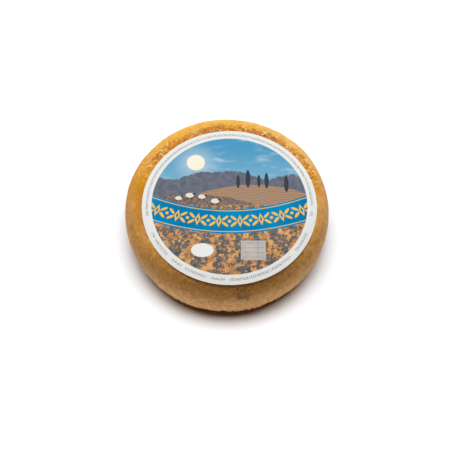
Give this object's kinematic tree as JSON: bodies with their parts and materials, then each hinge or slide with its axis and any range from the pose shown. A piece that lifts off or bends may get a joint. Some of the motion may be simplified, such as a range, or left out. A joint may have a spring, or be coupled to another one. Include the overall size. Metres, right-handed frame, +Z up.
{
  "type": "aged pecorino wheel",
  "caption": "Whole wheel of aged sheep's milk cheese with flat faces, full rounded sides, a rough golden rind and a round paper label stuck on its upper face.",
  "frame": {"origin": "centre of the flat foot, on the wheel's axis, at the surface it stands on", "axes": "+Z up along the wheel's axis, -Y towards the front where the label reaches over the shoulder, +X to the right"},
  "size_m": [0.1898, 0.19, 0.0622],
  "materials": {
    "rind": "dry natural cheese rind: ochre to golden, mottled, finely grained, with an oily crumbly band round the upper face",
    "label_paper": null
  },
  "bodies": {
    "root": {"wheel": "rind", "label": "label_paper"}
  },
  "joints": []
}
